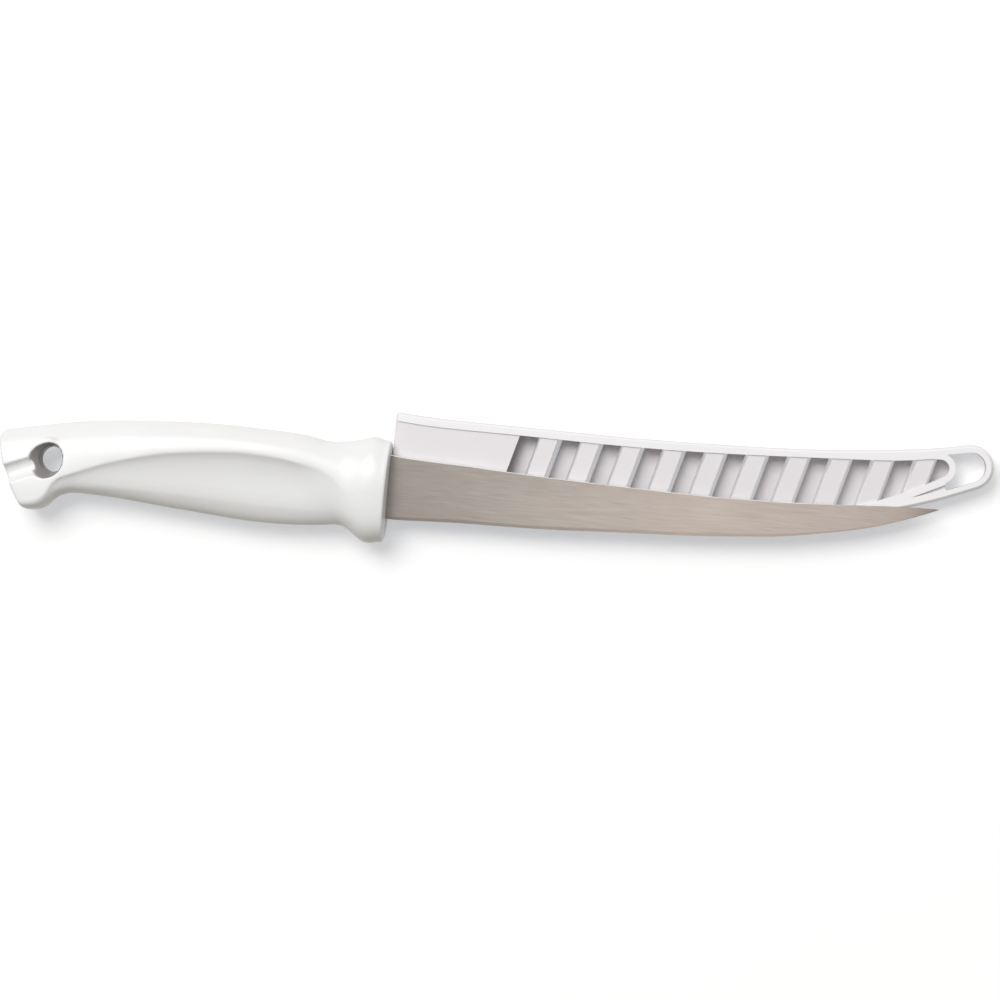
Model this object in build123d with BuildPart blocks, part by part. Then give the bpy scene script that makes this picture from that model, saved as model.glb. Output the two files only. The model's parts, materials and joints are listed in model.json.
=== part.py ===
from build123d import *
import math
import os

os.makedirs("parts", exist_ok=True)

# A fillet knife lying over its own open lattice sheath, both flat on a table.
# Lengths are in mm. X runs along the knife from the handle's butt to the blade's
# tip, Y points from the cutting edge to the spine, and Z is up from the table.
# The knife's datum is the middle of the heel, on the bolster's front face, and
# the sheath's datum is the bottom corner of its mouth.

# Blade and its hidden tang, one strip of stainless steel
blade_length = 203.4  # bolster face to tip
heel_height = 23.8  # cutting edge to spine at the bolster
spine_height = 11.6  # datum to spine at the bolster
spine_dip = 3.6  # how far the spine sags between heel and tip
spine_thickness = 2.0
tip_thickness = 1.0
grind_thickness = 0.5  # steel left where the flat grind ends
edge_thickness = 0.1
bevel_height = 1.2  # second, steeper bevel along the cutting edge
spine_break = 0.2  # broken corners of the spine
tip_flat = 0.4  # the last section stands this far short of the point
heel_seat = 3.0  # full-height steel inside the bolster
tang_length = 98.0
tang_height = 13.0
tang_centre = 1.0  # tang's middle line above the datum
tang_corner = 3.0
lock_hole_radius = 2.5  # plastic fills these holes and locks the handle on
lock_hole_spacing = 40.0
lock_hole_setback = 30.0  # bolster face to the first hole

# Handle with its bolster, one moulding
handle_length = 146.5  # bolster face to the end of the butt
back_height = 16.8  # datum up to the highest point of the grip
belly_drop = 18.3  # datum down to the lowest point of the grip
bolster_thickness = 22.6
scallop_pull = 3.4  # how hard the finger scallop draws in below the crease
bolster_round = 0.6
butt_top = 4.7  # datum up to the top of the butt's end face
butt_foot = 19.0  # datum down to the foot of that face
butt_run = 10.3  # how far forward of its top the foot of the butt lies
butt_bow = 2.0  # the butt's end is slightly convex
butt_round = 4.0
butt_foot_round = 6.5
butt_lean = 5.0  # degrees, the lower edge of the butt's outline runs down and forward
butt_rise = 15.0  # degrees, its upper edge runs up and forward, a little above the back

# Lanyard hole, and the thong channel that leads from it to the butt
lanyard_radius = 4.75
lanyard_setback = 126.2  # bolster face to the hole's centre
lanyard_drop = 2.5  # datum down to the hole's centre
lanyard_straight = 6.0  # the hole's straight middle, which then flares to both faces
lanyard_flare = 4.3  # the hole widens by this much towards the butt, at the bolster's thickness
channel_radius = 3.9
channel_depth = 3.0
channel_slope = 23.0  # degrees, falling towards the butt

# Sheath with its belt loop, one moulding
sheath_length = 221.1  # mouth to the outside of the loop
mouth_height = 32.0
sheath_thickness = 10.0
panel_recess = 0.6  # the plates stand back from the rims
plate_thickness = 1.7
rail_width = 3.3
slot_undercut = 0.8  # the blade slot reaches this far under the rails
rim_bevel = 1.0
mouth_corner = 1.2
loop_radius = 8.3
loop_height = 32.3  # mouth's bottom corner up to the loop's centre
loop_top_lean = 11.0  # degrees, slope of the top edge where it meets the loop
loop_foot_lean = 23.0  # degrees, slope of the bottom edge where it meets the loop
strap_width = 2.8
nose_gap = 11.1  # centre of the rounded end to the loop's centre
nose_height = 30.8  # mouth's bottom corner up to that centre
nose_radius = 5.6
nose_wall = 2.3
panel_top_lean = 6.0  # degrees, the top edge falls at the mouth
nose_foot_lean = 28.0  # degrees, slope of the panel's bottom edge at the nose
hole_start = 2.4  # nose's centre to the near end of the loop's opening
hole_corner = 0.9
wedge_length = 12.9  # recess between the body's rim and the loop's strap
wedge_width = 1.7
wedge_depth = 1.4

# Lattice of the sheath: its slats alternate between the front and the back plate
throat_length = 46.5  # solid panel at the mouth, along its top edge
first_gap = 53.7  # mouth to the first gap that shows light
last_gap_margin = 1.7  # last such gap to the centre of the rounded end
gap_width = 1.2
gap_count = 20
slat_lean = 15.0  # degrees

# How the knife lies beside its sheath
rest_gap = 0.3  # between the knife and the sheath
sheath_drop = 4.2  # knife's datum down to the sheath's

overrun = 5.0  # cutters run this far past what they cut

# Outlines as pairs of shares: of the length, then of the height or width
spine_shares = [
    (0.0, 0.0), (0.08, 0.28), (0.21, 0.53), (0.32, 0.76), (0.43, 0.88),
    (0.58, 1.0), (0.71, 0.83), (0.82, 0.52), (0.95, 0.07), (1.0, 0.0),
]
edge_shares = [
    (0.0, 0.0), (0.17, 0.052), (0.31, 0.092), (0.44, 0.158), (0.575, 0.224), (0.66, 0.29),
    (0.745, 0.38), (0.836, 0.527), (0.9, 0.672), (0.975, 0.906), (1.0, 1.0),
]
blade_station_shares = [
    0.0, 0.08, 0.2, 0.32, 0.44, 0.56, 0.66, 0.76, 0.84, 0.9, 0.95, 0.98,
]
back_shares = [
    (0.0, 0.985), (0.02, 1.035), (0.048, 1.05), (0.066, 1.018), (0.081, 0.946), (0.103, 0.917),
    (0.126, 0.88), (0.146, 0.84), (0.17, 0.88), (0.212, 0.935), (0.253, 0.967),
    (0.334, 0.99), (0.418, 1.0), (0.5, 0.982), (0.583, 0.94), (0.665, 0.887),
    (0.747, 0.81), (0.829, 0.702), (0.921, 0.542), (1.03, 0.335),
]
belly_shares = [
    (0.0, 1.145), (0.02, 1.18), (0.04, 1.185), (0.055, 1.165), (0.067, 1.11), (0.081, 1.005),
    (0.099, 0.925),
    (0.126, 0.89), (0.148, 0.913), (0.189, 0.95), (0.246, 0.984), (0.312, 1.0),
    (0.395, 0.973), (0.478, 0.923), (0.562, 0.88), (0.645, 0.825), (0.728, 0.787),
    (0.778, 0.781), (0.819, 0.8), (0.84, 0.874), (0.856, 1.02), (0.87, 1.115),
    (0.9, 1.202), (0.93, 1.216), (1.03, 1.222),
]
crease_shares = [
    (0.0, -0.12), (0.055, -0.12), (0.08, -0.2), (0.101, -0.2), (0.13, 0.018), (0.17, 0.208),
    (0.203, 0.28), (0.272, 0.381), (0.377, 0.423), (0.479, 0.345), (0.581, 0.214),
    (0.681, -0.018), (0.726, -0.149), (0.766, -0.286), (0.805, -0.429), (0.83, -0.52),
    (0.85, -0.68), (0.865, -0.92), (0.885, -1.06), (0.91, -1.13), (1.03, -1.15),
]
flank_shares = [
    (0.0, 0.955), (0.02, 0.99), (0.042, 0.995), (0.08, 0.94), (0.11, 0.88), (0.15, 0.86),
    (0.22, 0.87),
    (0.4, 0.91), (0.6, 0.86), (0.75, 0.79), (0.86, 0.73), (1.03, 0.67),
]
scallop_shares = [
    (0.0, 0.1), (0.08, 0.1), (0.11, 0.25), (0.15, 0.55), (0.25, 0.9), (0.4, 1.0),
    (0.6, 0.85), (0.75, 0.6), (0.83, 0.5), (0.87, 0.3), (0.93, 0.1), (1.03, 0.1),
]
bolster_ring_shares = [0.0, 0.4, 1.0]  # of the bolster's rounded front edge
grip_station_shares = [
    0.03, 0.05, 0.073, 0.097, 0.125, 0.16, 0.21, 0.28, 0.36, 0.44, 0.51, 0.57, 0.62,
    0.67, 0.72, 0.77, 0.812, 0.846, 0.873, 0.903, 0.935, 0.967, 1.0, 1.03,
]
neck_shares = [
    (0.0, 0.75), (0.08, 0.7), (0.13, 0.35), (0.8, 0.3), (0.87, 0.5), (1.03, 0.5),
]
shoulder_share = 0.5  # where the flank turns into the back
crown_share = 0.85  # fullness of the grip's back
channel_share = 0.92  # part of the length where the channel's depth is taken
keel_share = 0.95  # fullness of the grip's underside
top_rim_shares = [
    (0.0, 0.0), (0.193, -0.118), (0.363, -0.142), (0.553, -0.059), (0.7, 0.095),
    (0.813, 0.308), (0.884, 0.509), (0.951, 0.757), (1.0, 1.0),
]
bottom_rim_shares = [
    (0.0, 0.0), (0.184, 0.02), (0.369, 0.057), (0.508, 0.114), (0.619, 0.187), (0.68, 0.239),
    (0.74, 0.316), (0.809, 0.438), (0.9, 0.661), (0.947, 0.807), (1.0, 1.0),
]
panel_top_shares = [
    (0.0, 0.0), (0.202, -0.185), (0.38, -0.222), (0.559, -0.111), (0.69, 0.111),
    (0.777, 0.296), (0.865, 0.481), (0.95, 0.778), (1.0, 1.0),
]
panel_bottom_shares = [
    (0.0, 0.0), (0.197, 0.02), (0.394, 0.057), (0.541, 0.114), (0.659, 0.187), (0.723, 0.244),
    (0.787, 0.325), (0.858, 0.467), (0.898, 0.589), (0.933, 0.711), (0.975, 0.886), (1.0, 1.0),
]

# The sheath's rounded end and its gaps keep their places before the loop
nose_setback = sheath_length - loop_radius - nose_gap
slat_pitch = (nose_setback - last_gap_margin - first_gap) / (gap_count - 1)

# The knife lies with its bolster on the table, or higher if its sheath is thick
knife_level = max(
    bolster_thickness / 2,
    sheath_thickness + rest_gap + spine_thickness / 2,
)
# The whole set is centred on the origin
set_right = rest_gap + sheath_length
set_top = loop_height + loop_radius - sheath_drop
set_bottom = belly_drop * belly_shares[-1][1]
centre_x = (set_right - handle_length) / 2
centre_y = (set_top - set_bottom) / 2
knife_plane = Plane(origin=(-centre_x, -centre_y, knife_level))
sheath_plane = Plane(origin=(rest_gap - centre_x, -sheath_drop - centre_y, 0))


def guide(shares, share):
    """Height share of a smooth line through hand-set points, without overshoot."""
    slopes = [
        (after[1] - before[1]) / (after[0] - before[0])
        for before, after in zip(shares, shares[1:])
    ]
    tangents = [slopes[0]]
    for left, right in zip(slopes, slopes[1:]):
        peak = left * right <= 0
        tangents.append(0 if peak else 2 * left * right / (left + right))
    tangents.append(slopes[-1])
    index = 0
    while index < len(slopes) - 1 and share > shares[index + 1][0]:
        index += 1
    start, end = shares[index], shares[index + 1]
    width = end[0] - start[0]
    t = (share - start[0]) / width
    return (
        start[1] * (1 + 2 * t) * (1 - t) ** 2
        + end[1] * t * t * (3 - 2 * t)
        + width * tangents[index] * t * (1 - t) ** 2
        + width * tangents[index + 1] * t * t * (t - 1)
    )


def cross_plane(distance):
    """Plane across the knife, seen from the tip: X of the sketch is Y of the knife."""
    return Plane(
        origin=knife_plane.from_local_coords((distance, 0, 0)),
        x_dir=(0, 1, 0),
        z_dir=(1, 0, 0),
    )


# Blade: sections from the heel to the tip, with the flat grind and the second bevel
def blade_section(share):
    """One cross-section of the blade, as points from the spine round to the spine."""
    spine = spine_height - spine_dip * guide(spine_shares, share)
    edge_start = spine_height - heel_height
    edge = edge_start + heel_height * guide(edge_shares, share)
    height = spine - edge
    taper = 1 - share
    spine_half = (tip_thickness + (spine_thickness - tip_thickness) * taper) / 2
    bevel = bevel_height * min(1, height / heel_height + taper)
    bevel = min(bevel, height / 3)
    corner = min(spine_break, height / 6)
    grind_half = spine_half * grind_thickness / spine_thickness
    edge_half = edge_thickness / 2
    right = [
        (spine, spine_half - corner),
        (spine - corner, spine_half),
        (edge + bevel, grind_half),
        (edge, edge_half),
    ]
    left = [(y, -z) for y, z in reversed(right)]
    return right + left


with BuildPart() as blade:
    for share in blade_station_shares + [1 - tip_flat / blade_length]:
        with BuildSketch(cross_plane(blade_length * share)):
            with BuildLine():
                Polyline(*blade_section(share), close=True)
            make_face()
    loft()
    # The heel runs on into the bolster at full height
    with BuildSketch(cross_plane(0)):
        with BuildLine():
            Polyline(*blade_section(0), close=True)
        make_face()
    extrude(amount=-heel_seat)
    # The tang, with two holes that the handle's plastic fills
    with BuildSketch(knife_plane) as tang_sketch:
        with Locations((-tang_length / 2, tang_centre)):
            Rectangle(tang_length, tang_height)
        fillet(tang_sketch.vertices().group_by(Axis.X)[0], tang_corner)
        with Locations(
            (-lock_hole_setback, tang_centre),
            (-lock_hole_setback - lock_hole_spacing, tang_centre),
        ):
            Circle(lock_hole_radius, mode=Mode.SUBTRACT)
    extrude(amount=spine_thickness / 2, both=True)


# Handle: one loft from the bolster's face to past the butt, then the butt is cut
def arch(start, rise, turn, first_half, second_half, share):
    """Control points of one smooth arch across the handle, crease to crease."""
    # An arch of six points reaches its full height with its middle points this far out
    middle = start + rise * (1.6 - turn / 2)
    half = [
        (start, first_half),
        (start + turn * rise, second_half),
        (middle, share * first_half),
    ]
    return half + [(y, -z) for y, z in reversed(half)]


def grip_arches(share, inset=0):
    """Back and underside of one cross-section of the handle, drawn in by the inset."""
    back = back_height * guide(back_shares, share) - inset
    belly = inset - belly_drop * guide(belly_shares, share)
    crease = back_height * guide(crease_shares, share)
    flank = bolster_thickness / 2 * guide(flank_shares, share) - inset
    pull = scallop_pull * guide(scallop_shares, share)
    neck = guide(neck_shares, share)
    upper = arch(crease, back - crease, shoulder_share, flank, flank, crown_share)
    lower = arch(crease, belly - crease, neck, flank, flank - pull, keel_share)
    return upper, lower


butt_slant = butt_run / (butt_top + butt_foot)
butt_angle = math.degrees(math.atan(butt_slant))
corner_height = back_height * guide(back_shares, 1)
butt_high = (-handle_length - butt_slant * (corner_height - butt_top), corner_height)
butt_low = (-handle_length + butt_slant * (butt_top + set_bottom), -set_bottom)
butt_chord = math.hypot(butt_high[0] - butt_low[0], butt_high[1] - butt_low[1])
butt_middle = (
    (butt_high[0] + butt_low[0]) / 2 - butt_bow * math.cos(math.radians(butt_angle)),
    (butt_high[1] + butt_low[1]) / 2 - butt_bow * math.sin(math.radians(butt_angle)),
)

with BuildPart() as handle:
    for share in [bolster_round / handle_length] + grip_station_shares:
        upper, lower = grip_arches(share)
        with BuildSketch(cross_plane(-handle_length * share)):
            with BuildLine():
                Bezier(*upper)
                Bezier(*lower)
            make_face()
    loft()
    # Short straight rings round off the bolster's front edge
    for near, far in zip(bolster_ring_shares, bolster_ring_shares[1:]):
        for part in (near, far):
            setback = bolster_round * part
            inset = bolster_round - math.sqrt(bolster_round**2 - (bolster_round - setback) ** 2)
            upper, lower = grip_arches(setback / handle_length, inset)
            with BuildSketch(cross_plane(-setback)):
                with BuildLine():
                    Bezier(*upper)
                    Bezier(*lower)
                make_face()
        loft(ruled=True)
    # The butt ends in a slanted, slightly convex face
    with BuildSketch(knife_plane):
        with Locations((-handle_length, 0)):
            Rectangle(2 * butt_chord, 4 * butt_chord)
        with BuildSketch(mode=Mode.SUBTRACT) as butt_outline:
            with BuildLine():
                ThreePointArc(butt_high, butt_middle, butt_low)
                lower_edge = PolarLine(butt_low, 2 * butt_chord, -butt_lean)
                upper_edge = PolarLine(butt_high, 2 * butt_chord, butt_rise)
                Line(lower_edge @ 1, upper_edge @ 1)
            make_face()
            fillet(butt_outline.vertices().sort_by(Axis.X)[1], butt_foot_round)
            fillet(butt_outline.vertices().sort_by(Axis.X)[0], butt_round)
    extrude(amount=bolster_thickness, both=True, mode=Mode.SUBTRACT)
    # The lanyard hole goes right through the butt
    with BuildSketch(knife_plane):
        with Locations((-lanyard_setback, -lanyard_drop)):
            Circle(lanyard_radius)
    extrude(amount=lanyard_straight / 2, both=True, mode=Mode.SUBTRACT)
    for side in (1, -1):
        with BuildSketch(knife_plane.offset(side * lanyard_straight / 2)):
            with Locations((-lanyard_setback, -lanyard_drop)):
                Circle(lanyard_radius)
        with BuildSketch(knife_plane.offset(side * bolster_thickness / 2)):
            with Locations((-lanyard_setback - lanyard_flare, -lanyard_drop)):
                Circle(lanyard_radius + lanyard_flare)
        loft(mode=Mode.SUBTRACT)
    # A round-bottomed channel on each face carries the thong from the hole to the butt
    channel_lean = math.radians(channel_slope)
    channel_level = (
        bolster_thickness / 2 * guide(flank_shares, channel_share)
        + channel_radius
        - channel_depth
    )
    channel_start = knife_plane.from_local_coords((-lanyard_setback, -lanyard_drop, 0))
    for side in (1, -1):
        mouth_plane = Plane(
            origin=channel_start + Vector(0, 0, side * channel_level),
            z_dir=(-math.cos(channel_lean), -math.sin(channel_lean), 0),
        )
        with BuildSketch(mouth_plane):
            Circle(channel_radius)
        extrude(amount=handle_length - lanyard_setback + overrun, mode=Mode.SUBTRACT)
    # The plastic is moulded round the tang and fills its holes
    add(blade.part, mode=Mode.SUBTRACT)


# Sheath: outlines of the body with its belt loop, and of the slatted panel
def rim_points(start, end, shares):
    """Points of a long curved edge between two given points."""
    return [
        (
            start[0] + (end[0] - start[0]) * share,
            start[1] + (end[1] - start[1]) * height,
        )
        for share, height in shares
    ]


def direction(degrees):
    """Unit vector at an angle from the sheath's length."""
    return (math.cos(math.radians(degrees)), math.sin(math.radians(degrees)))


def beside(centre, radius, degrees):
    """Point on a circle, at an angle from the sheath's length."""
    run, rise = direction(degrees)
    return (centre[0] + radius * run, centre[1] + radius * rise)


loop_centre = (sheath_length - loop_radius, loop_height)
nose_centre = (nose_setback, nose_height)


def panel_outline(grow):
    """Edge of the slatted panel with its rounded end, or of the slot behind it."""
    radius = nose_radius - nose_wall + grow
    low_start = (0, rail_width - grow)
    low_end = beside(nose_centre, radius, nose_foot_lean - 90)
    high_start = (0, mouth_height - rail_width + grow)
    high_end = beside(nose_centre, radius, 90)
    Spline(
        *rim_points(low_start, low_end, panel_bottom_shares),
        tangents=[direction(0), direction(nose_foot_lean)],
    )
    ThreePointArc(low_end, beside(nose_centre, radius, 0), high_end)
    Spline(
        *rim_points(high_start, high_end, panel_top_shares),
        tangents=[direction(-panel_top_lean), direction(0)],
    )
    Polyline(
        high_start,
        (-overrun, high_start[1]),
        (-overrun, low_start[1]),
        low_start,
    )


def slat_top(distance):
    """Height of the panel's top edge."""
    rise = nose_height + nose_radius - nose_wall - mouth_height + rail_width
    share = distance / nose_setback
    return mouth_height - rail_width + rise * guide(panel_top_shares, share)


def slanted_edge(distance):
    """Top and bottom point of a slat's edge that meets the panel's top edge there."""
    lean = math.tan(math.radians(slat_lean))
    top = slat_top(distance)
    return (
        (distance + overrun * lean, top + overrun),
        (distance - (top + overrun) * lean, -overrun),
    )


def gap_edge(number, side):
    """Distance from the mouth to one side of a gap, along the panel's top edge."""
    return first_gap + (number - 1) * slat_pitch + side * gap_width / 2


front_windows = [(throat_length, gap_edge(1, 1))]
front_windows += [
    (gap_edge(number, -1), gap_edge(number + 1, 1))
    for number in range(2, gap_count, 2)
]
front_windows += [(gap_edge(gap_count, -1), nose_setback + nose_radius)]
back_windows = [
    (gap_edge(number, -1), gap_edge(number + 1, 1))
    for number in range(1, gap_count, 2)
]

with BuildPart() as sheath:
    top_end = beside(loop_centre, loop_radius, 90 + loop_top_lean)
    foot_end = beside(loop_centre, loop_radius, loop_foot_lean - 90)
    top_rim = rim_points((0, mouth_height), top_end, top_rim_shares)
    bottom_rim = rim_points((0, 0), foot_end, bottom_rim_shares)
    with BuildSketch(sheath_plane) as body:
        with BuildLine():
            Spline(*bottom_rim, tangents=[direction(0), direction(loop_foot_lean)])
            ThreePointArc(foot_end, beside(loop_centre, loop_radius, 0), top_end)
            Spline(*top_rim, tangents=[direction(-panel_top_lean), direction(loop_top_lean)])
            Line((0, mouth_height), (0, 0))
        make_face()
        fillet(body.vertices().group_by(Axis.X)[0], mouth_corner)
    extrude(amount=sheath_thickness)
    chamfer(sheath.faces().filter_by(Axis.Z).edges(), rim_bevel)
    # The opening of the belt loop, with the body's rounded end standing into it
    inner = loop_radius - strap_width
    hole_left = nose_setback + hole_start
    hole_top = beside(loop_centre, inner, 90 + loop_top_lean)
    hole_foot = beside(loop_centre, inner, loop_foot_lean - 90)
    top_fall = (hole_top[0] - nose_setback) * math.tan(math.radians(loop_top_lean))
    foot_fall = (hole_foot[0] - hole_left) * math.tan(math.radians(loop_foot_lean))
    with BuildSketch(sheath_plane) as hole:
        with BuildLine():
            Line((hole_left, hole_foot[1] - foot_fall), hole_foot)
            ThreePointArc(hole_foot, beside(loop_centre, inner, 0), hole_top)
            Polyline(
                hole_top,
                (nose_setback, hole_top[1] - top_fall),
                nose_centre,
                (hole_left, nose_height),
                (hole_left, hole_foot[1] - foot_fall),
            )
        make_face()
        with Locations(nose_centre):
            Circle(nose_radius, mode=Mode.SUBTRACT)
        fillet(hole.vertices().sort_by(Axis.Y)[0], hole_corner)
    extrude(amount=sheath_thickness, mode=Mode.SUBTRACT)
    # A shallow wedge on each face parts the rounded end from the strap below it
    hole_low = hole_foot[1] - foot_fall
    nose_low = nose_height - math.sqrt(nose_radius**2 - hole_start**2)
    wedge_middle = (hole_low + nose_low) / 2
    run, rise = direction(loop_foot_lean)
    for level in (0, sheath_thickness - wedge_depth):
        with BuildSketch(sheath_plane.offset(level)):
            with BuildLine():
                Polyline(
                    (hole_left + wedge_width, wedge_middle + wedge_width / 2),
                    (hole_left, wedge_middle + wedge_width / 2),
                    (hole_left - wedge_length * run, wedge_middle - wedge_length * rise),
                    (hole_left, wedge_middle - wedge_width / 2),
                    (hole_left + wedge_width, wedge_middle - wedge_width / 2),
                    close=True,
                )
            make_face()
        extrude(amount=wedge_depth, mode=Mode.SUBTRACT)
    # The panel's plates stand back from the rims, and the slot lies between them
    for level in (0, sheath_thickness - panel_recess):
        with BuildSketch(sheath_plane.offset(level)):
            with BuildLine():
                panel_outline(0)
            make_face()
        extrude(amount=panel_recess, mode=Mode.SUBTRACT)
    slot_level = panel_recess + plate_thickness
    with BuildSketch(sheath_plane.offset(slot_level)):
        with BuildLine():
            panel_outline(slot_undercut)
        make_face()
    extrude(amount=sheath_thickness - 2 * slot_level, mode=Mode.SUBTRACT)
    # Slanted windows, front and back by turns, so that narrow gaps show light
    for windows, level in (
        (back_windows, panel_recess),
        (front_windows, sheath_thickness - slot_level),
    ):
        with BuildSketch(sheath_plane.offset(level)) as lattice:
            for near, far in windows:
                near_top, near_foot = slanted_edge(near)
                far_top, far_foot = slanted_edge(far)
                with BuildLine():
                    Polyline(near_top, near_foot, far_foot, far_top, close=True)
                make_face()
            with BuildLine():
                panel_outline(0)
            make_face(mode=Mode.INTERSECT)
        extrude(amount=plate_thickness, mode=Mode.SUBTRACT)


blade.part.label = "blade"
handle.part.label = "handle"
sheath.part.label = "sheath"
export_step(blade.part, "parts/blade.step")
export_step(handle.part, "parts/handle.step")
export_step(sheath.part, "parts/sheath.step")
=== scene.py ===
# %% [markdown]
# A fillet knife lies on its open sheath. The knife is a satin steel blade in a white moulded
# handle, and the sheath is one white moulding with a lattice of slats and a belt loop. Every
# piece below sits on it.

# %% Bring in the construction model
import json
import math

import bmesh
import bpy
from mathutils import Matrix, Vector


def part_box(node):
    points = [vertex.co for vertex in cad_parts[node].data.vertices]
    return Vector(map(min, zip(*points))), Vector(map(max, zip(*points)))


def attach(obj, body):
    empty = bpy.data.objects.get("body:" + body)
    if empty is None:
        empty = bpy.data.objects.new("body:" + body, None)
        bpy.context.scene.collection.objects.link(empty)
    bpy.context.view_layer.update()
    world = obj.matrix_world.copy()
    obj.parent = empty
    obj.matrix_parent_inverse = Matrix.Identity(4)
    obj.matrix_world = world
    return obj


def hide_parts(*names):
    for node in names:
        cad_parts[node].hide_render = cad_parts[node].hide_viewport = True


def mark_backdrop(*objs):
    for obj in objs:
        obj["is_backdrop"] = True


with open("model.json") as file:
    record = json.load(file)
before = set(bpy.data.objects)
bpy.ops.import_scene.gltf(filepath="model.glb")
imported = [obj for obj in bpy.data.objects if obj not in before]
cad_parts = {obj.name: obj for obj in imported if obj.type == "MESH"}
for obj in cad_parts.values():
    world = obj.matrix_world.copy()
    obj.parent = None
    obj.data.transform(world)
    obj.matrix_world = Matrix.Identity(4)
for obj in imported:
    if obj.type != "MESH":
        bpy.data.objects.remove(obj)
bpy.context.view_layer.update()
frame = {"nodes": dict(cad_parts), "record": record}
blade_core = frame["nodes"]["blade"]
handle_core = frame["nodes"]["handle"]
sheath_core = frame["nodes"]["sheath"]
MILLIMETRE = 0.001

# %% [markdown]
# The photograph looks almost straight down from more than a metre away, so a long lens keeps the
# knife free of perspective. The camera leans a little, and turns so that the knife runs slightly
# downhill across the picture. A look-at matrix is the plainest way to aim a camera: its back axis
# points away from the target, and the other two follow from a hint of which way is up.

# %% Aim the camera
CAMERA_PLACE = Vector((0.10952, 0.01728, 1.3013))
CAMERA_TARGET = Vector((0.00359, -0.00826, 0.0))
CAMERA_ROLL = math.radians(5.673)
LENS = 125.86
SENSOR = 36.0
NEAREST_SEEN = 10 * MILLIMETRE


def look_at(place, target, up_hint):
    """A matrix that stands at place and looks at target."""
    back = (place - target).normalized()
    right = up_hint.cross(back).normalized()
    up = back.cross(right)
    turn = Matrix((right, up, back)).transposed().to_4x4()
    return Matrix.Translation(place) @ turn


def make_camera():
    lens_data = bpy.data.cameras.new("camera")
    lens_data.lens = LENS
    lens_data.sensor_width = SENSOR
    lens_data.sensor_fit = "HORIZONTAL"
    lens_data.clip_start = NEAREST_SEEN
    camera = bpy.data.objects.new("camera", lens_data)
    up_hint = Vector((-math.sin(CAMERA_ROLL), math.cos(CAMERA_ROLL), 0))
    camera.matrix_world = look_at(CAMERA_PLACE, CAMERA_TARGET, up_hint)
    bpy.context.scene.collection.objects.link(camera)
    bpy.context.scene.camera = camera
    return camera


camera = make_camera()
print(camera.name, "to target", round((CAMERA_PLACE - CAMERA_TARGET).length, 3), "m")

# %% [markdown]
# The construction model is faceted, and its edges are as sharp as a drawing's. It stays as it is,
# so each visible piece starts as a copy of its form, welded along the lines where the import had
# split it. Modifiers then soften the copy, and their result becomes its own mesh.

# %% Helpers for pieces: a copy of a form, and settled modifiers
WELD_REACH = 0.0005 * MILLIMETRE


def welded_copy(node, name):
    """A new object with the node's form, welded where the import had split it."""
    mesh = bpy.data.meshes.new(name)
    form = bmesh.new()
    form.from_mesh(node.data)
    bmesh.ops.remove_doubles(form, verts=form.verts, dist=WELD_REACH)
    points = [vertex.co.copy() for vertex in form.verts]
    faces = [[vertex.index for vertex in face.verts] for face in form.faces]
    form.free()
    mesh.from_pydata(points, [], faces)
    piece = bpy.data.objects.new(name, mesh)
    bpy.context.scene.collection.objects.link(piece)
    return piece


def settle(piece):
    """Turns the modifiers' result into the piece's own mesh."""
    graph = bpy.context.evaluated_depsgraph_get()
    finished = bpy.data.meshes.new_from_object(piece.evaluated_get(graph))
    piece.modifiers.clear()
    piece.data = finished
    return piece


print("helpers for pieces ready")

# %% [markdown]
# A real moulding has no sharp edge, because the mould is polished and the plastic shrinks. For the
# handle, the form is rebuilt on an even grid of small squares with the Remesh modifier, and then
# relaxed a little. That melts the facets away and gives every edge a soft turn of about half a
# millimetre. Bevels would be lighter, but they fail where the handle's many curves run together.

# %% Handle: an evenly gridded, relaxed copy
HANDLE_GRID = 0.46 * MILLIMETRE
RELAX_SHARE = 0.5
RELAX_ROUNDS = 3


def regrid_handle():
    piece = welded_copy(handle_core, "grip")
    grid = piece.modifiers.new("grid", "REMESH")
    grid.mode = "VOXEL"
    grid.voxel_size = HANDLE_GRID
    relax = piece.modifiers.new("relax", "SMOOTH")
    relax.factor = RELAX_SHARE
    relax.iterations = RELAX_ROUNDS
    return settle(piece)


grip = regrid_handle()
print("grip has", len(grip.data.polygons), "faces")

# %% [markdown]
# The fingers lie in a hollow that is deepest just below the crease of the handle. The fine grid can
# carry it, so the points between the crease and the belly are pressed in, less and less towards
# the belly and towards both ends. Both lines are given as places along the handle and heights.

# %% Handle: the hollow for the fingers
HOLLOW_DEPTH = 0.27  # presses the deepest place in by a twentieth of the way from crease to belly
HOLLOW_SHARE = 0.75  # of that way is hollow
HOLLOW_TAIL = 1.5  # a higher number moves the deepest place nearer to the crease
SHORT_FADE = 3 * MILLIMETRE
LONG_FADE = 16 * MILLIMETRE
CREASE_LINE = (
    (-0.16417, -0.02247), (-0.16198, -0.01844), (-0.15905, -0.01576), (-0.15535, -0.01423),
    (-0.14965, -0.01182), (-0.14385, -0.00952), (-0.13725, -0.00732), (-0.12255, -0.00342),
    (-0.10765, -0.00122), (-0.09265, 0.00009), (-0.07725, -0.00062), (-0.06715, -0.00232),
    (-0.06235, -0.00353), (-0.05645, -0.00672),
)
BELLY_LINE = (
    (-0.16491, -0.02742), (-0.16285, -0.02569), (-0.1605, -0.02301), (-0.15745, -0.02166),
    (-0.14415, -0.02142), (-0.13195, -0.02212), (-0.11975, -0.02312), (-0.10745, -0.02392),
    (-0.09535, -0.02482), (-0.08315, -0.02532), (-0.06515, -0.02442), (-0.05595, -0.02332),
)


def follow(line, x):
    """Height at x of a line of points, straight between them."""
    for (x_near, near), (x_far, far) in zip(line, line[1:]):
        if x <= x_far:
            return near + (far - near) * (x - x_near) / (x_far - x_near)
    return line[-1][1]


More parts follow.
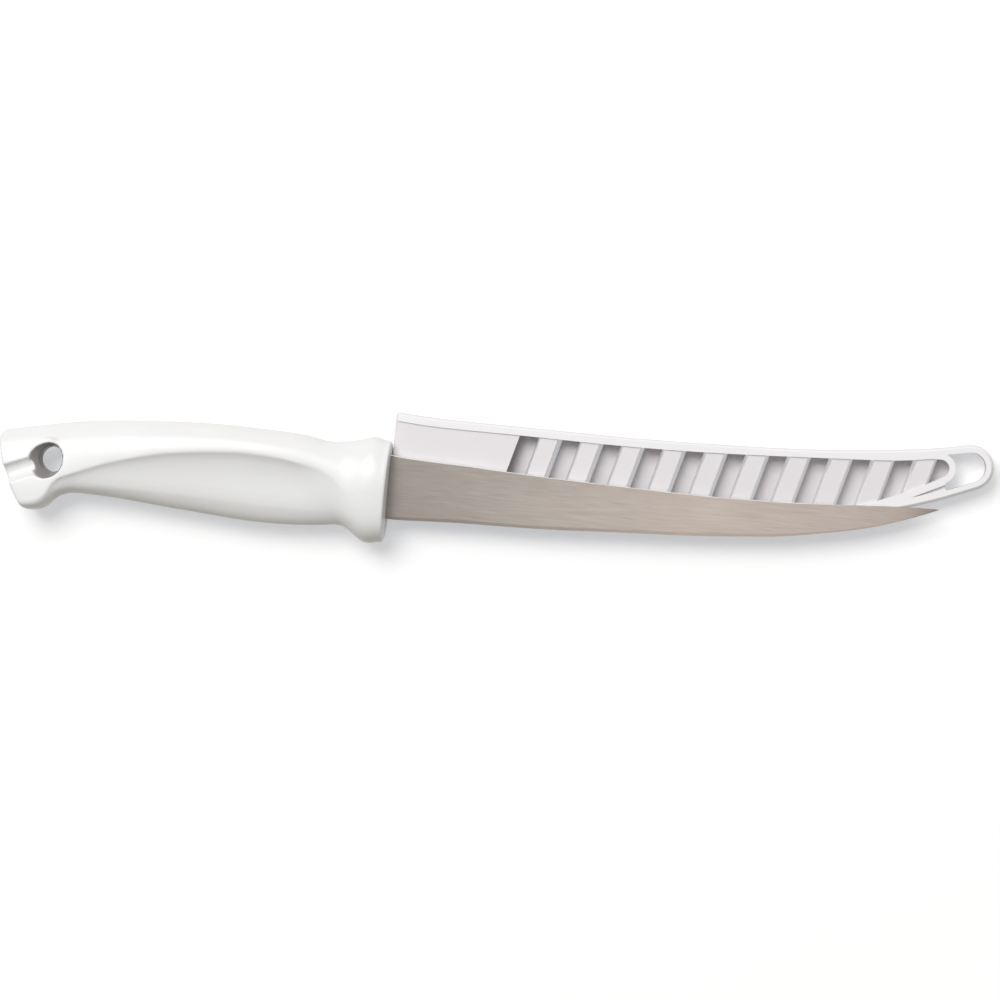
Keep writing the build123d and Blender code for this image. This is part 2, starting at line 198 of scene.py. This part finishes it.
def ease(value):
    """0 to 1 with a soft start and a soft end."""
    held = min(1.0, max(0.0, value))
    return held * held * (3 - 2 * held)


def hollow_fingers(piece):
    """Presses a shallow hollow into both sides, just below the crease."""
    low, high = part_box("handle")
    middle = (low.z + high.z) / 2
    start, end = CREASE_LINE[0][0], CREASE_LINE[-1][0]
    moved = 0
    for vertex in piece.data.vertices:
        x, y, z = vertex.co
        if not start < x < end:
            continue
        crease, belly = follow(CREASE_LINE, x), follow(BELLY_LINE, x)
        share = (crease - y) / (crease - belly) / HOLLOW_SHARE
        if not 0 < share < 1:
            continue
        fade = ease((x - start) / SHORT_FADE) * ease((end - x) / LONG_FADE)
        # Steep just below the crease, deepest at two fifths, and smooth at the far side
        press = HOLLOW_DEPTH * (crease - belly) * fade * share * (1 - share) ** HOLLOW_TAIL
        vertex.co.z -= math.copysign(press, z - middle)
        moved += 1
    return moved


print("hollow moved", hollow_fingers(grip), "points")

# %% [markdown]
# A finger rests against the bolster, so its front foot is rounded too. Every point that lies beyond
# a quarter circle in that corner is drawn straight in onto it, which is simpler than a cut.

# %% Handle: the rounded foot of the bolster
GUARD_ROUND = 3.4 * MILLIMETRE


def round_guard(piece):
    """Rounds the front foot of the bolster, as seen from the side."""
    low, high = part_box("handle")
    centre_x, centre_y = high.x - GUARD_ROUND, low.y + GUARD_ROUND
    moved = 0
    for vertex in piece.data.vertices:
        ahead, below = vertex.co.x - centre_x, centre_y - vertex.co.y
        reach = math.hypot(ahead, below)
        if ahead > 0 and below > 0 and reach > GUARD_ROUND:
            share = GUARD_ROUND / reach
            vertex.co.x = centre_x + ahead * share
            vertex.co.y = centre_y - below * share
            moved += 1
    return moved


print("guard moved", round_guard(grip), "points")
grip.data.shade_smooth()
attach(grip, "knife")
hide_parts("handle")

# %% [markdown]
# The sheath is made of flat plates and thin rims, so a grid would waste faces on it. Here the
# triangles of each flat face are first dissolved into one face. The Bevel modifier then turns
# every remaining sharp edge, and keeps the flat faces flat with hardened normals.

# %% Sheath: the same form with turned edges
SHEATH_TURN = 0.22 * MILLIMETRE
TURN_STEPS = 2
FLAT_WITHIN = math.radians(0.6)
SHARP_BEYOND = math.radians(32)


def turn_edges(piece, width, which):
    """A Bevel modifier that turns edges and keeps the faces beside them flat."""
    turn = piece.modifiers.new("turn", "BEVEL")
    turn.width = width
    turn.segments = TURN_STEPS
    turn.limit_method = which
    turn.harden_normals = True
    turn.use_clamp_overlap = True
    return turn


def make_sheath():
    piece = welded_copy(sheath_core, "open_sheath")
    form = bmesh.new()
    form.from_mesh(piece.data)
    bmesh.ops.dissolve_limit(form, angle_limit=FLAT_WITHIN, verts=form.verts, edges=form.edges)
    form.to_mesh(piece.data)
    form.free()
    turn_edges(piece, SHEATH_TURN, "ANGLE").angle_limit = SHARP_BEYOND
    piece.data.shade_smooth()
    settle(piece)
    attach(piece, "sheath")
    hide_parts("sheath")
    return piece


open_sheath = make_sheath()
print("sheath has", len(open_sheath.data.polygons), "faces")

# %% [markdown]
# A real spine isn't knife sharp: the maker breaks its two long corners with a stone, and they
# catch the light as a thin bright line. The construction model has them as small flats, so the
# edges of those flats get a bevel weight and the Bevel modifier turns only them. The cutting edge
# and the line where its own bevel starts stay sharp, so they are marked as sharp for the shading.

# %% Blade: the same form with its spine corners turned
SPINE_TURN = 0.09 * MILLIMETRE
CORNER_LEVEL = (0.5, 0.85)  # how much a corner's flat faces up or down, from 0 to 1
BLADE_FLAT_WITHIN = FLAT_WITHIN / 3
GRIND_STEP = math.radians(3)


def is_corner_flat(face):
    return CORNER_LEVEL[0] < abs(face.normal.z) < CORNER_LEVEL[1]


def mark_edges(form):
    """Gives the spine's corners a bevel weight and marks the ground lines as sharp."""
    weight = form.edges.layers.float.new("bevel_weight_edge")
    turned = 0
    for edge in form.edges:
        if len(edge.link_faces) != 2:
            continue
        flats = [is_corner_flat(face) for face in edge.link_faces]
        if flats[0] != flats[1]:
            edge[weight] = 1.0
            turned += 1
        elif not any(flats) and edge.calc_face_angle() > GRIND_STEP:
            edge.smooth = False
    return turned


def make_blade():
    piece = welded_copy(blade_core, "ground_blade")
    form = bmesh.new()
    form.from_mesh(piece.data)
    bmesh.ops.dissolve_limit(
        form, angle_limit=BLADE_FLAT_WITHIN, verts=form.verts, edges=form.edges
    )
    print("turned", mark_edges(form), "edges of the spine")
    form.to_mesh(piece.data)
    form.free()
    # Face by face, because shading the whole mesh smooth would undo the sharp lines
    for face in piece.data.polygons:
        face.use_smooth = True
    turn_edges(piece, SPINE_TURN, "WEIGHT")
    settle(piece)
    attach(piece, "knife")
    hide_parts("blade")
    return piece


ground_blade = make_blade()
print("blade has", len(ground_blade.data.polygons), "faces")

# %% [markdown]
# The finishes are built from nodes in code, so a few small helpers come first. One gives a node its
# values or links, one adds a node with its settings, and three add the nodes used most. The last
# two start and place a reusable group: a box of nodes with named inputs and outputs, which several
# materials can share with their own values.

# %% Helpers for node trees
def set_inputs(tree, node, inputs):
    """Gives inputs, by name or number, a link from another node or a plain value."""
    for name, value in dict(inputs).items():
        socket = node.inputs[name]
        if isinstance(value, bpy.types.NodeSocket):
            tree.links.new(value, socket)
        else:
            socket.default_value = value


def add_node(tree, kind, inputs=(), **settings):
    """A node of that kind with its settings and inputs."""
    node = tree.nodes.new(kind)
    for name, value in settings.items():
        setattr(node, name, value)
    set_inputs(tree, node, inputs)
    return node


def calculate(tree, operation, *values, **settings):
    """One step of arithmetic on plain values or links."""
    node = add_node(tree, "ShaderNodeMath", enumerate(values), operation=operation, **settings)
    return node.outputs[0]


def ramp_between(tree, value, low, high, to_low=0.0, to_high=1.0):
    """Maps a value from one range to another and holds it there."""
    return add_node(tree, "ShaderNodeMapRange", {
        "Value": value, "From Min": low, "From Max": high, "To Min": to_low, "To Max": to_high,
    }, clamp=True).outputs["Result"]


def blend_colours(tree, share, first, second, mode="MIX"):
    inputs = {0: share, 6: first, 7: second}
    mix = add_node(tree, "ShaderNodeMix", inputs, data_type="RGBA", blend_type=mode)
    return mix.outputs[2]


def start_group(name, inputs, outputs):
    """A node group with these inputs (name, kind, default) and outputs (name, kind)."""
    tree = bpy.data.node_groups.new(name, "ShaderNodeTree")
    for label, kind, default in inputs:
        socket = tree.interface.new_socket(label, in_out="INPUT", socket_type=kind)
        socket.default_value = default
    for label, kind in outputs:
        tree.interface.new_socket(label, in_out="OUTPUT", socket_type=kind)
    return tree, tree.nodes.new("NodeGroupInput"), tree.nodes.new("NodeGroupOutput")


def use_group(tree, group, inputs=()):
    """Places a group in a material, with its own values."""
    return add_node(tree, "ShaderNodeGroup", inputs, node_tree=group)


print("helpers for node trees ready")

# %% [markdown]
# Handled things carry faint hairlines and dull smudges: steel shows both, and plastic only the
# smudges. The hairlines are a noise that is squeezed one way and stretched the other, cut to its
# thin crests. The smudges are a slow noise. Both are masks from 0 to 1, so that a material decides
# what they do.

# %% Shared effect: handling marks
HAIRLINE_SCALE = 60.0
HAIRLINE_LEAN = 0.35
HAIRLINE_CREST = (0.66, 0.72)
SMUDGE_SCALE = 38.0
SMUDGE_RANGE = (0.42, 0.7)


def add_noise(tree, place, scale, detail, roughness, distortion=0.0):
    """A cloudy noise, whose values lie mostly between 0.3 and 0.7."""
    return add_node(tree, "ShaderNodeTexNoise", {
        "Vector": place, "Scale": scale, "Detail": detail, "Roughness": roughness,
        "Distortion": distortion,
    }).outputs[0]


def make_handling_marks():
    tree, take, give = start_group(
        "handling_marks",
        (("Vector", "NodeSocketVector", (0, 0, 0)), ("Hairline Stretch", "NodeSocketFloat", 40.0)),
        (("Hairlines", "NodeSocketFloat"), ("Smudges", "NodeSocketFloat")),
    )
    place = take.outputs["Vector"]
    across = calculate(tree, "MULTIPLY", take.outputs["Hairline Stretch"], HAIRLINE_SCALE)
    squeeze = add_node(tree, "ShaderNodeCombineXYZ", {
        "X": HAIRLINE_SCALE, "Y": across, "Z": HAIRLINE_SCALE,
    })
    lean = add_node(tree, "ShaderNodeVectorRotate", {"Vector": place, "Angle": HAIRLINE_LEAN})
    stretched = add_node(tree, "ShaderNodeVectorMath", {
        0: lean.outputs[0], 1: squeeze.outputs[0],
    }, operation="MULTIPLY")
    hair = add_noise(tree, stretched.outputs[0], 1.0, 2.0, 0.5)
    slow = add_noise(tree, place, SMUDGE_SCALE, 4.0, 0.6)
    set_inputs(tree, give, {
        "Hairlines": ramp_between(tree, hair, *HAIRLINE_CREST),
        "Smudges": ramp_between(tree, slow, *SMUDGE_RANGE),
    })
    return tree


handling_marks = make_handling_marks()
print("group", handling_marks.name, "with", len(handling_marks.nodes), "nodes")

# %% [markdown]
# White moulded plastic is never one white. It clouds a little where it flowed and cooled, and its
# skin copies the fine polish of the mould as a low orange peel. The colour varies by a percent or
# two over centimetres, and the skin's height over a few tenths of a millimetre.

# %% Shared effect: moulded skin
CLOUD_SCALE = 24.0
CLOUD_SWIRL = 0.6
CLOUD_RANGE = (0.35, 0.65)


def make_moulded_skin():
    tree, take, give = start_group(
        "moulded_skin",
        (
            ("Vector", "NodeSocketVector", (0, 0, 0)),
            ("Tone", "NodeSocketColor", (0.8, 0.8, 0.8, 1)),
            ("Cloud Tone", "NodeSocketColor", (0.78, 0.78, 0.78, 1)),
            ("Gloss", "NodeSocketFloat", 0.25),
            ("Dull", "NodeSocketFloat", 0.4),
            ("Peel Scale", "NodeSocketFloat", 900.0),
        ),
        (
            ("Color", "NodeSocketColor"),
            ("Roughness", "NodeSocketFloat"),
            ("Height", "NodeSocketFloat"),
        ),
    )
    given = take.outputs
    cloud = add_noise(tree, given["Vector"], CLOUD_SCALE, 3.0, 0.55, CLOUD_SWIRL)
    share = ramp_between(tree, cloud, *CLOUD_RANGE)
    smudges = use_group(tree, handling_marks, {"Vector": given["Vector"]}).outputs["Smudges"]
    set_inputs(tree, give, {
        "Color": blend_colours(tree, share, given["Tone"], given["Cloud Tone"]),
        "Roughness": ramp_between(tree, smudges, 0.0, 1.0, given["Gloss"], given["Dull"]),
        "Height": add_noise(tree, given["Vector"], given["Peel Scale"], 2.0, 0.5),
    })
    return tree


moulded_skin = make_moulded_skin()
print("group", moulded_skin.name, "with", len(moulded_skin.nodes), "nodes")

# %% [markdown]
# Every finish starts with the same nodes: a shader, and the coordinates of the point that it
# shades. They stay with the object, so no finish slides when the knife moves. The helpers here
# read them, lay colours along a value, and turn a height into a fine relief of the surface.

# %% Helpers for a finish
def start_material(name):
    """A material with its tree, its shader and the coordinates of the shaded point."""
    material = bpy.data.materials.new(name)
    material.use_nodes = True
    tree = material.node_tree
    where = add_node(tree, "ShaderNodeTexCoord").outputs
    return material, tree, tree.nodes["Principled BSDF"], where


def split(tree, vector):
    """The X, Y and Z of a place or a direction."""
    return add_node(tree, "ShaderNodeSeparateXYZ", {"Vector": vector}).outputs


def colour_ramp(tree, value, stops):
    """Colours along a value from 0 to 1."""
    node = add_node(tree, "ShaderNodeValToRGB", {"Fac": value})
    while len(node.color_ramp.elements) < len(stops):
        node.color_ramp.elements.new(1.0)
    for element, (place, colour) in zip(node.color_ramp.elements, stops):
        element.position = place
        element.color = colour
    return node.outputs["Color"]


def add_bump(tree, height, strength, depth):
    """The surface's normal after a fine relief."""
    inputs = {"Strength": strength, "Distance": depth, "Height": height}
    return add_node(tree, "ShaderNodeBump", inputs).outputs[0]


def give_finish(piece, material):
    """Makes the material the piece's only one."""
    piece.data.materials.clear()
    piece.data.materials.append(material)


print("helpers for a finish ready")

# %% [markdown]
# The blade is ground and then brushed along its length. Brushing leaves thousands of fine parallel
# scratches, each centimetres long and about a tenth of a millimetre wide. A noise that is stretched
# along the blade makes them: it shades the colour, the roughness and a very low bump together. A
# colour ramp along the blade paints shade and reflection into the colour: darker at the heel,
# lighter towards the belly and darker again at the tip, and a slow noise breaks it into faint
# bands. What leans well away from the flat faces, the spine's corners, gets a painted highlight in
# a bright colour, which fades out before the tip.

# %% Material: satin steel
STEEL_TONES_AND_SHADE = (
    (0.0, (0.235, 0.21, 0.19, 1)),
    (0.28, (0.3, 0.267, 0.24, 1)),
    (0.55, (0.375, 0.323, 0.288, 1)),
    (0.94, (0.38, 0.325, 0.293, 1)),
    (1.0, (0.26, 0.23, 0.21, 1)),
)
HAIRLINE_TONE = (0.385, 0.33, 0.297, 1)
HAIRLINE_SHARE = 0.14
HAIRLINE_STRETCH = 22.0
EDGE_TONE = (0.97, 0.95, 0.93, 1)
EDGE_LEVEL = (0.9985, 0.9965)  # how much the cutting edge's bevel faces up or down
SPINE_HIGHLIGHT_TONE = (0.8, 0.79, 0.77, 1)
SPINE_HIGHLIGHT_LEVEL = (0.95, 0.85)
SPINE_HIGHLIGHT_FADE = (45 * MILLIMETRE, 20 * MILLIMETRE)  # before the tip
BLADE_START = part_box("handle")[1].x
BLADE_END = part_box("blade")[1].x
NOISE_RANGE = (0.3, 0.7)
GRAIN_SCALE = (90.0, 5200.0, 1500.0)
GRAIN_CONTRAST = 0.09
BAND_SCALE = (11.0, 90.0, 30.0)
BAND_CONTRAST = 0.05
STEEL_ROUGHNESS = (0.30, 0.40)
SMUDGE_ROUGHNESS = 0.05
SCRATCH_STRENGTH = 0.12
SCRATCH_DEPTH = 0.05 * MILLIMETRE


def stretched_noise(tree, place, scale, detail, roughness):
    """A noise with its own scale in each direction."""
    mapping = add_node(tree, "ShaderNodeMapping", {"Vector": place, "Scale": scale})
    return add_noise(tree, mapping.outputs[0], 1.0, detail, roughness)


def brushed_and_shaded_tone(tree, length_wise, grain, band, hairlines):
    """Steel tone and painted shade along the blade, varied by scratches and bands, with faint
    hairlines.
    """
    # Painted shade and reflection: darker at the heel and the tip, lighter towards the belly
    along = ramp_between(tree, length_wise, BLADE_START, BLADE_END)
    tone = colour_ramp(tree, along, STEEL_TONES_AND_SHADE)
    for noise, spread in ((grain, GRAIN_CONTRAST), (band, BAND_CONTRAST)):
        factor = ramp_between(tree, noise, *NOISE_RANGE, 1 - spread, 1 + spread)
        tone = blend_colours(tree, 1.0, tone, factor, "MULTIPLY")
    share = calculate(tree, "MULTIPLY", hairlines, HAIRLINE_SHARE)
    return blend_colours(tree, share, tone, HAIRLINE_TONE)


def make_satin_steel():
    material, tree, shader, where = start_material("satin_steel")
    place = where["Object"]
    length_wise = split(tree, place)["X"]
    grain = stretched_noise(tree, place, GRAIN_SCALE, 3.0, 0.6)
    band = stretched_noise(tree, place, BAND_SCALE, 2.0, 0.5)
    marks = use_group(tree, handling_marks, {
        "Vector": place, "Hairline Stretch": HAIRLINE_STRETCH,
    }).outputs
    tone = brushed_and_shaded_tone(tree, length_wise, grain, band, marks["Hairlines"])
    # The cutting edge's own bevel leans more than the faces and is ground finer
    level = calculate(tree, "ABSOLUTE", split(tree, where["Normal"])["Z"])
    on_edge = ramp_between(tree, level, *EDGE_LEVEL)
    tone = blend_colours(tree, on_edge, tone, EDGE_TONE, "MULTIPLY")
    # Painted highlight: the spine's corners get a bright colour that fades out before the tip
    spine_highlight_mask = ramp_between(tree, level, *SPINE_HIGHLIGHT_LEVEL)
    fade_start, fade_end = (BLADE_END - distance for distance in SPINE_HIGHLIGHT_FADE)
    before_tip = ramp_between(tree, length_wise, fade_start, fade_end, 1.0, 0.0)
    bright = calculate(tree, "MULTIPLY", spine_highlight_mask, before_tip)
    rough = ramp_between(tree, grain, *NOISE_RANGE, *STEEL_ROUGHNESS)
    set_inputs(tree, shader, {
        "Base Color": blend_colours(tree, bright, tone, SPINE_HIGHLIGHT_TONE),
        "Roughness": calculate(tree, "MULTIPLY_ADD", marks["Smudges"], SMUDGE_ROUGHNESS, rough),
        "Normal": add_bump(tree, grain, SCRATCH_STRENGTH, SCRATCH_DEPTH),
        "Metallic": 1.0,
    })
    return material


satin_steel = make_satin_steel()
give_finish(ground_blade, satin_steel)
print("blade material", satin_steel.name, "with", len(satin_steel.node_tree.nodes), "nodes")

# %% [markdown]
# Handle and sheath share the moulded skin. The handle is the glossier of the two and almost pure
# white. Painted shade darkens the wall of its lanyard hole and its belly, where fingers close: a
# mask from the distance to the hole's middle finds the first, and one from the way that the
# surface faces finds the second.

# %% Material: the handle's white plastic
PLASTIC_IOR = 1.5
PEEL_STRENGTH = 0.25
PEEL_DEPTH = 0.03 * MILLIMETRE
HANDLE_WHITE = (0.86, 0.865, 0.87, 1)
HANDLE_CLOUD = (0.84, 0.84, 0.835, 1)
HANDLE_ROUGHNESS = (0.3, 0.42)
HANDLE_PEEL = 700.0
HOLE_SHADE_TONE = (0.3, 0.28, 0.27, 1)
HOLE_REACH = 7.6 * MILLIMETRE
HOLE_LEVEL = (0.93, 0.83)  # how much the hole's wall and its flare face up or down
BELLY_SHADE_TONE = (0.7, 0.68, 0.64, 1)
BELLY_SHADE_FACING = (-0.35, -0.85)


def start_plastic(name, tone, cloud_tone, roughness, peel_scale):
    """A moulded plastic without its base colour, which each piece makes from the skin's."""
    material, tree, shader, where = start_material(name)
    skin = use_group(tree, moulded_skin, {
        "Vector": where["Object"], "Tone": tone, "Cloud Tone": cloud_tone,
        "Gloss": roughness[0], "Dull": roughness[1], "Peel Scale": peel_scale,
    }).outputs
    set_inputs(tree, shader, {
        "Roughness": skin["Roughness"],
        "Normal": add_bump(tree, skin["Height"], PEEL_STRENGTH, PEEL_DEPTH),
        "IOR": PLASTIC_IOR,
    })
    return material, tree, shader, where, skin["Color"]


def make_handle_plastic():
    material, tree, shader, where, colour = start_plastic(
        "handle_plastic", HANDLE_WHITE, HANDLE_CLOUD, HANDLE_ROUGHNESS, HANDLE_PEEL
    )
    mounts = {mount["name"]: mount for mount in frame["record"]["mounts"]}
    centre = mounts["lanyard_hole"]["pos_m"]
    near = split(tree, where["Object"])
    flat = add_node(tree, "ShaderNodeCombineXYZ", {"X": near["X"], "Y": near["Y"]})
    reach = add_node(tree, "ShaderNodeVectorMath", {
        0: flat.outputs[0], 1: (centre[0], centre[1], 0),
    }, operation="DISTANCE").outputs["Value"]
    facing = split(tree, where["Normal"])
    inside = ramp_between(tree, reach, HOLE_REACH + MILLIMETRE, HOLE_REACH)
    wall = ramp_between(tree, calculate(tree, "ABSOLUTE", facing["Z"]), *HOLE_LEVEL)
    # Painted shade on the belly, where the surface faces down
    under = ramp_between(tree, facing["Y"], *BELLY_SHADE_FACING)
    belly_shaded = blend_colours(tree, under, colour, BELLY_SHADE_TONE)
    # Painted shade on the wall of the lanyard hole
    hole_shade_mask = calculate(tree, "MULTIPLY", inside, wall)
    shaded_colour = blend_colours(tree, hole_shade_mask, belly_shaded, HOLE_SHADE_TONE)
    set_inputs(tree, shader, {"Base Color": shaded_colour})
    return material


handle_plastic = make_handle_plastic()
give_finish(grip, handle_plastic)
print("handle material", handle_plastic.name)

# %% [markdown]
# The sheath is a duller, slightly cooler white, because a tough plastic that has to flex doesn't
# polish as well. Its rims get a painted sheen, a brighter white than the plates between them: a
# mask from the height above the table tells the rims from what lies deeper, on both faces.

# %% Material: the sheath's white plastic
PLATE_WHITE = (0.815, 0.785, 0.8, 1)
PLATE_CLOUD = (0.79, 0.765, 0.78, 1)
PLATE_ROUGHNESS = (0.34, 0.46)
PLATE_PEEL = 900.0
RIM_SHEEN_WHITE = (0.91, 0.905, 0.912, 1)
RIM_LEVEL = 0.3 * MILLIMETRE


def make_sheath_plastic():
    material, tree, shader, where, colour = start_plastic(
        "sheath_plastic", PLATE_WHITE, PLATE_CLOUD, PLATE_ROUGHNESS, PLATE_PEEL
    )
    low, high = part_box("sheath")
    height = split(tree, where["Object"])["Z"]
    above = ramp_between(tree, height, high.z - 2 * RIM_LEVEL, high.z - RIM_LEVEL)
    below = ramp_between(tree, height, low.z + 2 * RIM_LEVEL, low.z + RIM_LEVEL)
    # Painted sheen: the rims at the top and bottom faces get a brighter white
    rim_sheen_mask = calculate(tree, "MAXIMUM", above, below)
    set_inputs(tree, shader, {"Base Color": blend_colours(tree, rim_sheen_mask, colour, RIM_SHEEN_WHITE)})
    return material


sheath_plastic = make_sheath_plastic()
give_finish(open_sheath, sheath_plastic)
print("sheath material", sheath_plastic.name)

# %% [markdown]
# The set lies on a plain white table. The table glows a little, but only for the camera and in
# reflections, so that it is pure white where nothing shades it and still keeps a soft grey shadow
# in front of the handle and the blade. Far from the set it glows more, which makes up for the
# fading lamp and hides where the table ends.

# %% Table
TABLE_SIZE = 3.0
TABLE_TONE = (0.72, 0.7, 0.67, 1)
TABLE_ROUGHNESS = 0.9
GLOW_TONE = (0.895, 0.935, 1.0, 1)
TABLE_GLOW = 0.43
FULL_GLOW = 1.0
GLOW_NEAR = 0.25
GLOW_FAR = 1.4


def direct_view(tree):
    """1 for what the camera sees directly or through gloss or glass, and 0 for lighting rays."""
    light_path = add_node(tree, "ShaderNodeLightPath").outputs
    total = light_path["Is Camera Ray"]
    for name in ("Is Glossy Ray", "Is Transmission Ray"):
        total = calculate(tree, "ADD", total, light_path[name], use_clamp=True)
    return total


def make_table_white():
    material, tree, shader, where = start_material("table_white")
    away = add_node(tree, "ShaderNodeVectorMath", {0: where["Object"]}, operation="LENGTH")
    distance = away.outputs["Value"]
    strength = ramp_between(tree, distance, GLOW_NEAR, GLOW_FAR, TABLE_GLOW, FULL_GLOW)
    set_inputs(tree, shader, {
        "Base Color": TABLE_TONE,
        "Roughness": TABLE_ROUGHNESS,
        "Specular IOR Level": 0.0,
        "Emission Color": GLOW_TONE,
        "Emission Strength": calculate(tree, "MULTIPLY", direct_view(tree), strength),
    })
    return material


def make_table():
    half = TABLE_SIZE / 2
    mesh = bpy.data.meshes.new("table")
    corners = [(-half, -half, 0), (half, -half, 0), (half, half, 0), (-half, half, 0)]
    mesh.from_pydata(corners, [], [(0, 1, 2, 3)])
    table = bpy.data.objects.new("table", mesh)
    bpy.context.scene.collection.objects.link(table)
    mesh.materials.append(make_table_white())
    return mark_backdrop(table)


make_table()
print("table of", TABLE_SIZE, "m")

# %% [markdown]
# The photograph has soft daylight that comes from beyond the set's back. One large square lamp
# stands for the window, a weak low one on the other side lifts the upper edges and the bolster's
# front, and a pale sky fills the shadows. The camera sees the sky as plain white.

# %% Lamps and sky
WINDOW_PLACE = Vector((-0.9, 1.35, 2.8))
WINDOW_SIZE = 1.8
WINDOW_POWER = 79.0
FILL_PLACE = Vector((1.3, 1.8, 1.1))
FILL_SIZE = 1.2
FILL_POWER = 6.0
LAMP_TARGET = Vector((0, 0, 0))
UPWARDS = Vector((0, 0, 1))
SKY_TONE = (1.0, 0.975, 0.94, 1)
SKY_LIGHT = 0.28
SEEN_WHITE = (1, 1, 1, 1)


def make_lamp(name, place, size, power):
    lamp_data = bpy.data.lights.new(name, "AREA")
    lamp_data.shape = "SQUARE"
    lamp_data.size = size
    lamp_data.energy = power
    lamp = bpy.data.objects.new(name, lamp_data)
    lamp.matrix_world = look_at(place, LAMP_TARGET, UPWARDS)
    bpy.context.scene.collection.objects.link(lamp)
    return lamp


def make_sky():
    world = bpy.data.worlds.new("sky")
    world.use_nodes = True
    tree = world.node_tree
    view = direct_view(tree)
    set_inputs(tree, tree.nodes["Background"], {
        "Color": blend_colours(tree, view, SKY_TONE, SEEN_WHITE),
        "Strength": ramp_between(tree, view, 0.0, 1.0, SKY_LIGHT, FULL_GLOW),
    })
    bpy.context.scene.world = world
    return world


window = make_lamp("window", WINDOW_PLACE, WINDOW_SIZE, WINDOW_POWER)
fill = make_lamp("fill", FILL_PLACE, FILL_SIZE, FILL_POWER)
sky = make_sky()
bpy.context.scene.view_settings.view_transform = "Standard"
print(window.name, WINDOW_POWER, "W,", fill.name, FILL_POWER, "W,", sky.name, SKY_LIGHT)
